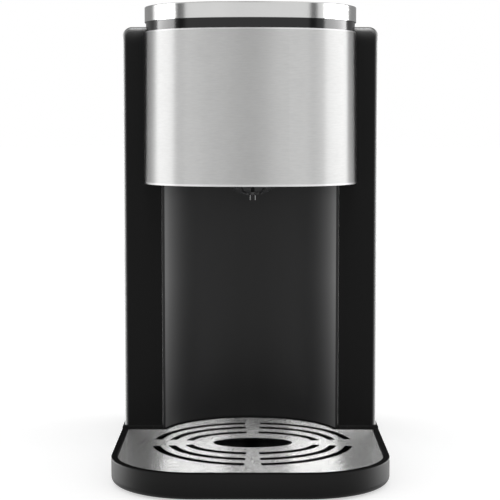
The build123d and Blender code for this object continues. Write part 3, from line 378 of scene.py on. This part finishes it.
# %% Lamps for single pieces
def only_on(lamp, nodes):
    """Lets a lamp light just these nodes of the frame."""
    lit = bpy.data.collections.new(f"lit_by_{lamp.name}")
    for name in nodes:
        lit.objects.link(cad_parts[name])
    lamp.light_linking.receiver_collection = lit


PLATE = Vector((0.0, -0.045, 0.0165))
STRIP_OFFSET = Vector((0, -0.70, 1.0))
STRIP_LENGTH = 1.6
STRIPS = (
    # name, place to the right of the plate's middle, width, strength
    ("plate_left", -0.0805, 0.091, 2.9),
    ("plate_middle", 0.010, 0.09, 1.25),
    ("plate_right", 0.0935, 0.073, 3.5),
    ("plate_sides", 0.0, 0.9, 0.06),
)
for name, x, width, strength in STRIPS:
    aim = PLATE + Vector((x, 0, 0))
    strip = soft_box(name, aim + STRIP_OFFSET, aim, (width, STRIP_LENGTH), strength)
    only_on(strip, ["drip_grate"])

BOX_PAIRS = (
    # name, angle, distance, height, aim, size, strength, pieces
    ("rim_box", 96, 0.9, 0.15, (0, 0, 0.15), (1.0, 0.6), 17.0, ["body_shell"]),
    ("corner_box", 116, 0.9, 0.03, (0, 0, 0.01), (0.4, 0.2), 60.0, ["drip_tray"]),
    ("bay_box", 70, 1.0, 0.14, (0, 0, 0.14), (0.3, 0.3), 34.0, ["niche_panel"]),
    ("spout_box", 96, 0.8, 0.14, (0, -0.06, 0.18), (0.5, 0.2), 6.0,
     ["nozzle_dome", "spout_tip"]),
)
for side in (-1, 1):
    for name, angle, distance, height, aim, size, strength, nodes in BOX_PAIRS:
        place = round_head(side * angle, distance, height)
        box = soft_box(f"{name}_{side}", place, aim, size, strength)
        box.visible_glossy = name != "bay_box"
        only_on(box, nodes)

over = soft_box("over_box", (0, -0.02, 1.25), (0, 0, 0.29), (0.7, 1.1), 36.0)
only_on(over, ["body_shell"])

# %% [markdown]
# Cards do the opposite of lamps: they take white away from what the steel mirrors.
# The rear cards darken the outer ends of the ring and the band, the line cards
# draw the two dark lines of the ring, the ceiling card darkens the plate's left
# side, and the front card calms the middle. Only gloss sees them, so they take
# no light from anything.

# %% Cards
def only_in_gloss(card, middle, sides, centre=(0, 0, 0), across=(1, 0, 0), width=1.0):
    """Hides a sheet from all but gloss. Its glow is middle on its upright centre line
    and grows to sides with the square of the distance from it."""
    for kind in ("camera", "diffuse", "transmission", "volume_scatter", "shadow"):
        setattr(card, "visible_" + kind, False)
    shade = bpy.data.materials.new(card.name)
    shade.use_nodes = True
    tree = Tree(shade.node_tree)
    offset = tree.vectors("SUBTRACT", tree.point(), centre)
    aside = tree.vectors("DOT_PRODUCT", offset, across, out="Value").math("ABSOLUTE")
    share = (aside * (2 / width)).math("POWER", 2.0)
    strength = share * (sides - middle) + middle
    glow = tree.node("ShaderNodeEmission", {}, {"Color": grey(1), "Strength": strength})
    tree.node("ShaderNodeOutputMaterial", {}, {"Surface": glow})
    shade.cycles.emission_sampling = "NONE"
    card.data.materials.append(shade)


def gloss_card(name, azimuth, distance, width, heights, middle, sides):
    """An upright card at an angle round the head, between two heights."""
    low, high = heights
    centre = np.array(round_head(azimuth, distance, (low + high) / 2))
    angle = math.radians(azimuth)
    across = np.array((math.cos(angle), math.sin(angle), 0))
    card = flat_sheet(name, centre, across * width, (0, 0, high - low))
    only_in_gloss(card, middle, sides, centre, across, width)


ceiling = flat_sheet("ceiling_card", (-0.373, -0.5, 1.0), (0.49, 0, 0), (0, 1.2, 0))
only_in_gloss(ceiling, 0.38, 0.38)
for side, line_angle, line_width in ((-1, -69, 0.42), (1, 57, 0.28)):
    gloss_card(f"rear_card_{side}", side * 149, 1.3, 1.25, (-0.4, 2.0), 0.34, 0.34)
    gloss_card(
        f"line_card_{side}", line_angle, 1.3, line_width, (0.245, 0.50), 0.10, 0.5
    )
gloss_card("front_card", 0, 1.8, 1.3, (0.65, 3.0), 0.02, 1.3)

# %% [markdown]
# Moulded black plastic is never one flat black. The tool that formed it was
# spark-eroded, which leaves a fine even grain, and hands polish it a little. Noise
# of under half a millimetre tilts the surface, and a slow one shifts the colour.
# The housing's upright rims carry a painted sheen: a pale grey is mixed over them
# only where they are seen edge on, so they draw no bright line in other views.
# Its top edge is drawn in, and the tray has a rolled rim, painted shade towards
# its foot, and painted shade on every face that looks up, its rim and its basin.

# %% Moulded plastics
RIM_PAINTED_SHEEN, RIM_PAINTED_SHEEN_POWER = grey(0.26), 0.5
DRAFT_POWER = 1.1
TRAY_FOOT_SHADE, TRAY_SHADE_HEIGHT, TRAY_TOP_SHADE = grey(0.003), 0.014, grey(0.001)


def moulded(
    colours, gloss, grain_per_metre=2600, grain_depth=0.00002, draft=None, lip=None
):
    """Fine grain over a slow change between two colours. draft gives two heights and
    the most that the surface turns upwards between them, as near a moulding's top,
    and adds a painted sheen on the upright rims where they are seen edge on. Above
    the heights of lip it turns to the front, as a rolled rim does, and painted shade
    darkens the foot and every face that looks up."""

    def build(finish):
        grain = finish.noise(grain_per_metre, detail=3)
        slow = finish.noise(14, detail=2)
        normal = None
        haze = {}
        base = finish.blend(slow, *colours)
        if draft:
            low, high, most = draft
            turn = finish.rise(low, high).math("POWER", DRAFT_POWER) * most
            normal = finish.tilt((0, 0, 1), turn)
            # Painted sheen: a pale grey over the rounded upright rims where they are seen
            # edge on.
            pale = finish.edge_on(RIM_PAINTED_SHEEN_POWER) * finish.upright_rims()
            haze = {"haze": (pale, RIM_PAINTED_SHEEN)}
        if lip:
            normal = finish.tilt((0, -1, 0), finish.rise(*lip))
            # Painted shade: darker towards the tray's foot.
            base = finish.blend(finish.rise(0.0, TRAY_SHADE_HEIGHT), TRAY_FOOT_SHADE, base)
            # Painted shade: every face that looks up, the rim and the basin under the
            # slots, is near black.
            base = finish.blend(finish.facing_up(), base, TRAY_TOP_SHADE)
        return {
            "Base Color": base,
            "Roughness": finish.spread(slow * 0.5 + grain * 0.5, *gloss),
            "Normal": finish.bump(grain, grain_depth, normal),
            **haze,
        }

    return build


HOUSING_DRAFT = (0.2795, 0.2885, 0.45)
TRAY_LIP = (0.0168, 0.0172)
material(
    "matt_black",
    moulded((grey(0.0011), grey(0.0014)), (0.40, 0.46), 2600, 0.00001, HOUSING_DRAFT),
    **{"Specular IOR Level": 0.10},
)
material(
    "satin_black", moulded((grey(0.006), grey(0.008)), (0.34, 0.42)),
    **{"Specular IOR Level": 0.2},
)
material(
    "tray_black", moulded((grey(0.011), grey(0.013)), (0.36, 0.44), lip=TRAY_LIP),
    **{"Specular IOR Level": 0.12},
)
material(
    "underside_black", moulded((grey(0.011), (0.014, 0.014, 0.015, 1)), (0.55, 0.7)),
)
print("black plastics:", sorted(materials))

# %% Pale plastics
PALE = (0.72, 0.72, 0.69, 1), (0.78, 0.78, 0.76, 1)
VALVE = (0.30, 0.31, 0.32, 1), (0.36, 0.37, 0.38, 1)
for name, colours in (("pale_moulding", PALE), ("valve_grey", VALVE)):
    material(name, moulded(colours, (0.35, 0.5), 1500, 0.00001))
    print(name, "from", colours[0][:3], "to", colours[1][:3])

# %% [markdown]
# The bay behind the cup and the strip above the steel band are polished black. A
# polished moulding still has slow waves from shrinking and hair-fine wipe marks,
# and both are there, far below what breaks up a reflection. The round wall of the
# bay also carries a painted sheen: a paler grey is painted where it is seen edge on,
# with less of it near its foot.

# %% Polished plastics
PAINTED_SHEEN_POWER = 2.6
PAINTED_SHEEN_HEIGHTS = (0.02, 0.12)
PAINTED_SHEEN_AT_FOOT = 0.3


def polished(colour, gloss, wave_depth=0.000004, haze=None):
    """Slow waves of shrinking plastic and fine wipe marks that change the gloss. Seen
    edge on, a painted sheen of the given colour lies over it, with less near the foot."""

    def build(finish):
        wave = finish.noise(22, detail=1)
        wipe = finish.noise(900, stretch=(1, 1, 0.08), detail=3)
        inputs = {
            "Base Color": finish.blend(wave, colour, scaled(colour, 1.3)),
            "Roughness": finish.spread(wipe, *gloss),
            "Normal": finish.bump(wave, wave_depth),
        }
        if haze:
            # Painted sheen: a paler grey where the wall is seen edge on, less of it near
            # the foot.
            height = finish.spread(finish.rise(*PAINTED_SHEEN_HEIGHTS), PAINTED_SHEEN_AT_FOOT, 1.0)
            inputs["haze"] = (finish.edge_on(PAINTED_SHEEN_POWER) * height, haze)
        return inputs

    return build


POLISHED = (
    # name, colour, gloss, painted sheen, specular level
    ("gloss_black", (0.004, 0.004, 0.0042, 1), (0.33, 0.38), grey(0.44), 0.29),
    ("piano_black", (0.003, 0.003, 0.0032, 1), (0.14, 0.17), None, 0.42),
    ("dome_grey", (0.04, 0.04, 0.041, 1), (0.2, 0.26), None, 0.6),
    ("nozzle_black", (0.006, 0.006, 0.0062, 1), (0.16, 0.2), None, 0.25),
)
for name, colour, gloss, haze, level in POLISHED:
    material(name, polished(colour, gloss, haze=haze), **{"Specular IOR Level": level})
print("polished plastics:", [row[0] for row in POLISHED])

# %% [markdown]
# The top of the head is a black glass panel. Touch fields are printed on its back,
# and the picture doesn't show them, so they are plain rings and a plain frame. A
# ring is where the distance from its centre is close to the radius.

# %% Touch panel
RING_PITCH = 0.034
RING_RADIUS = 0.009
RING_AHEAD = 0.030
PRINT_LINE = 0.0004
LENS_HALF_WIDTH, LENS_HALF_DEPTH, LENS_BEHIND = 0.030, 0.012, 0.014
PRINT_GREY = grey(0.42)


def touch_glass(finish):
    """Black glass with three touch rings and a frame for the display printed under it.
    The nearest of the three centres is the place, rounded to a whole ring pitch."""
    x, y = finish.part(finish.point(), "X"), finish.part(finish.point(), "Y")
    pitches = (x / RING_PITCH).math("ROUND").math("MAXIMUM", -1.0).math("MINIMUM", 1.0)
    beside, ahead = x - pitches * RING_PITCH, y + RING_AHEAD
    reach = (beside * beside + ahead * ahead).math("SQRT")
    ring = (reach - RING_RADIUS).math("ABSOLUTE") < PRINT_LINE
    wide = x.math("ABSOLUTE") - LENS_HALF_WIDTH
    deep = (y - LENS_BEHIND).math("ABSOLUTE") - LENS_HALF_DEPTH
    lens = wide.math("MAXIMUM", deep).math("ABSOLUTE") < PRINT_LINE
    printed = ring.math("MAXIMUM", lens)
    return {
        "Base Color": finish.blend(printed, (0.002, 0.002, 0.0025, 1), PRINT_GREY),
        "Roughness": finish.spread(finish.noise(45, detail=3), 0.02, 0.09),
    }


material("panel_glass", touch_glass, **{"Coat Weight": 1.0, "Coat Roughness": 0.01})
print("touch rings:", RING_RADIUS * 2000, "mm wide")

# %% [markdown]
# Brushed steel is drawn over an abrasive belt, which leaves scratches many times
# longer than they are wide. The band's scratches run round the head and are too
# fine to draw one by one, so its shader is anisotropic: the constant turns its
# smear upright, and reflections stay sharp sideways. The plate is seen so low that
# single scratches show. There a random lean for each one does the smearing.

# %% Brushed steel
HEM_BLEND = 0.0004
HEM_LEAN = 0.5
HEM_PAINTED_HIGHLIGHT = grey(0.95)
STREAK_SHARE, CLOUD_SHARE, CLOUD_SCALE = 0.6, 0.4, (55, 55, 55)


def brushed(along, across, colour, gloss, lean, scratch, stretch, streaks, hems=None):
    """Scratches along one axis, each leant across by its own random share of lean, and
    scratch is their length and pitch. The tone changes by streaks up and down, in
    stretched noise and in clouds. Below the first height of hems the surface turns
    down, and above the second one up, as rolled edges do, and both carry a painted
    highlight."""

    def build(finish):
        push = (finish.scratches(along, across, *scratch) - 0.5) * lean
        streak = finish.noise(1.0, stretch=stretch, detail=3)
        cloud = finish.noise(1.0, stretch=CLOUD_SCALE, detail=2)
        tone = streak * STREAK_SHARE + cloud * CLOUD_SHARE
        base = finish.blend(tone, scaled(colour, 1 - streaks), scaled(colour, 1 + streaks))
        if hems:
            down = 1.0 - finish.rise(hems[0] - HEM_BLEND, hems[0])
            up = finish.rise(hems[1], hems[1] + HEM_BLEND)
            push = push - down * HEM_LEAN + up * HEM_LEAN
            # Painted highlight: both hems are paler steel.
            base = finish.blend(down + up, base, HEM_PAINTED_HIGHLIGHT)
        return {
            "Base Color": base,
            "Roughness": finish.spread(cloud, *gloss),
            "Normal": finish.tilt(across, push),
        }

    return build


BAND_HEMS = (0.1880, 0.2860)
material(
    "band_steel",
    brushed(
        (1, 1, 0), (0, 0, 1), (0.68, 0.68, 0.675, 1), (0.44, 0.46), 0.08, (0.02, 0.0002),
        (200, 200, 1300), 0.13, BAND_HEMS,
    ),
    **{"Metallic": 1.0, "Anisotropic": 1.0, "Anisotropic Rotation": 0.25},
)
material(
    "plate_steel",
    brushed(
        (1, 0, 0), (0, 1, 0), (0.60, 0.60, 0.595, 1), (0.05, 0.07), 3.6,
        (0.0004, 0.00003), (60, 1100, 700), 0.06,
    ),
    **{"Metallic": 1.0},
)
print("brushed steels:", [name for name in materials if name.endswith("_steel")])

# %% [markdown]
# Polished and plated metals differ mostly in how sharp they mirror. The ring and
# the pins are polished, the heater's tube is plain drawn steel, and the motor can
# and the screws are zinc-plated, which is greyer and a little blue.

# %% Other metals
def drawn(colour, gloss, per_metre=700, depth=0.000006):
    """Even metal with slow stains and the fine lines of its making."""

    def build(finish):
        stain = finish.noise(40, detail=3)
        line = finish.noise(per_metre, stretch=(1, 1, 0.2), detail=2)
        return {
            "Base Color": finish.blend(stain, scaled(colour, 0.88), colour),
            "Roughness": finish.spread(stain * 0.4 + line * 0.6, *gloss),
            "Normal": finish.bump(line, depth),
        }

    return build


DRAWN = {
    "ring_steel": drawn((0.66, 0.66, 0.655, 1), (0.14, 0.18), 500, 0.000002),
    "bright_steel": drawn((0.66, 0.66, 0.65, 1), (0.10, 0.18)),
    "heater_steel": drawn((0.52, 0.51, 0.50, 1), (0.22, 0.36)),
    "zinc": drawn((0.50, 0.51, 0.53, 1), (0.30, 0.45), 1200, 0.00001),
    "brass": drawn((0.62, 0.47, 0.22, 1), (0.24, 0.36)),
}
for name, build in DRAWN.items():
    material(name, build, Metallic=1.0)
print("other metals:", list(DRAWN))

# %% [markdown]
# Silicone hose is soft to the eye, because light goes a little way in: a share of
# light under the skin does it. Rubber and seals are plain and dull, with a coarse
# grain.

# %% Soft materials
SILICONE = (0.70, 0.70, 0.66, 1), (0.78, 0.78, 0.75, 1)
RUBBER = grey(0.018), (0.03, 0.03, 0.029, 1)
SEAL_RED = (0.42, 0.08, 0.05, 1), (0.50, 0.11, 0.07, 1)
material(
    "silicone", moulded(SILICONE, (0.3, 0.42), 900),
    **{"Subsurface Weight": 0.35, "Subsurface Radius": (0.004, 0.004, 0.004),
       "Subsurface Scale": 0.5},
)
material("rubber", moulded(RUBBER, (0.7, 0.85), 1800, 0.00003))
material("red_seal", moulded(SEAL_RED, (0.45, 0.6), 1500, 0.00001))
print("soft materials:", list(materials)[-3:])

# %% [markdown]
# The tank is smoked clear plastic, about two and a half millimetres thick. It is
# glass with a grey colour, which tints the light at each skin that it goes
# through, and the faint waves of moulding bend what stands behind.

# %% Smoked tank
SMOKE = (0.46, 0.475, 0.49, 1), (0.53, 0.545, 0.56, 1)


def smoked(finish):
    """Clear plastic with the slow waves of a deep moulding."""
    wave = finish.noise(18, detail=1)
    return {
        "Base Color": finish.blend(wave, *SMOKE),
        "Roughness": finish.spread(finish.noise(600, detail=2), 0.02, 0.05),
        "Normal": finish.bump(wave, 0.00001),
    }


material("smoked_clear", smoked, **{"Transmission Weight": 0.97, "IOR": 1.49})
print("smoked plastic from", SMOKE[0][:3], "to", SMOKE[1][:3])

# %% [markdown]
# A circuit board is woven glass under green lacquer, with copper tracks that show
# as paler lines. The weave is fine noise, and the tracks are the edges of random
# cells, all on the object's own coordinates. The parts on the board are dark, and
# each cell of another such pattern tints them a little.

# %% Circuit boards
GREENS = (0.012, 0.075, 0.03, 1), (0.02, 0.11, 0.045, 1)
TRACK_GREEN = (0.06, 0.22, 0.09, 1)
PART_BLACK, PART_TINT = (0.012, 0.014, 0.02, 1), 0.12


def cells(finish, feature, per_metre, out):
    """Random cells, about per_metre to the metre."""
    sockets = {"Vector": finish.place(), "Scale": per_metre}
    return finish.node("ShaderNodeTexVoronoi", {"feature": feature}, sockets, out)


def circuit(finish):
    """Green lacquer over a woven sheet, with tracks along the edges of random cells."""
    track = cells(finish, "DISTANCE_TO_EDGE", 130.0, "Distance") < 0.06
    weave = finish.noise(2500, detail=1)
    return {
        "Base Color": finish.blend(track, finish.blend(weave, *GREENS), TRACK_GREEN),
        "Roughness": finish.spread(weave, 0.25, 0.4),
        "Normal": finish.bump(track * 0.5 + weave * 0.2, 0.00003),
    }


def part_bodies(finish):
    """Black component bodies, each tinted by the random colour of its cell."""
    tone = finish.noise(1500, detail=2)
    tint = cells(finish, "F1", 60.0, "Color")
    return {
        "Base Color": finish.blend(PART_TINT, PART_BLACK, tint),
        "Roughness": finish.spread(tone, 0.3, 0.5),
        "Normal": finish.bump(tone, 0.00001),
    }


material("board_green", circuit)
material("board_parts", part_bodies)
print("board finishes:", list(materials)[-2:])

# %% [markdown]
# Each node of the frame now gets its finish. The list names the finish first, and
# then every node that wears it, so that no node is left with a plain colour.

# %% Dress every node
wardrobe = {
    "matt_black": ["body_shell", "rear_cover", "tank_lid"],
    "satin_black": ["base_housing", "head_tub", "tray_dock"],
    "tray_black": ["drip_tray"],
    "underside_black": ["base_pan", "cord_gland"],
    "gloss_black": ["niche_panel"],
    "piano_black": ["top_frame"],
    "nozzle_black": ["spout_tip"],
    "dome_grey": ["nozzle_dome"],
    "panel_glass": ["control_panel"],
    "band_steel": ["head_band"],
    "plate_steel": ["drip_grate"],
    "ring_steel": ["top_ring"],
    "bright_steel": ["lid_pin", "valve_spring", "hose_clamps"],
    "heater_steel": ["heater_body"],
    "brass": ["heater_terminals"],
    "zinc": ["pump_motor", "thermal_cutouts", "base_screws", "body_screws"],
    "silicone": ["outlet_hose", "feed_hose", "suction_hose", "link_hose"],
    "rubber": ["rubber_feet", "pump_mounts"],
    "red_seal": ["coupling_seal", "valve_seal"],
    "smoked_clear": ["water_tank"],
    "board_green": ["display_board", "power_board"],
    "board_parts": ["power_parts"],
    "pale_moulding": [
        "steam_separator", "separator_lid", "pump_head", "flow_meter_case",
        "flow_meter_cover", "tank_coupling", "heater_caps",
    ],
    "valve_grey": [
        "pump_rotor", "flow_wheel", "valve_body", "valve_plunger", "valve_strainer",
    ],
}
for finish_name, nodes in wardrobe.items():
    for node in nodes:
        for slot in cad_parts[node].material_slots:
            slot.material = materials[finish_name]
dressed = {node for nodes in wardrobe.values() for node in nodes}
print("nodes without a finish:", sorted(set(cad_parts) - dressed))

# %% [markdown]
# A finish never changes a size, so the CAD model's box and the dressed model's box
# are the same.
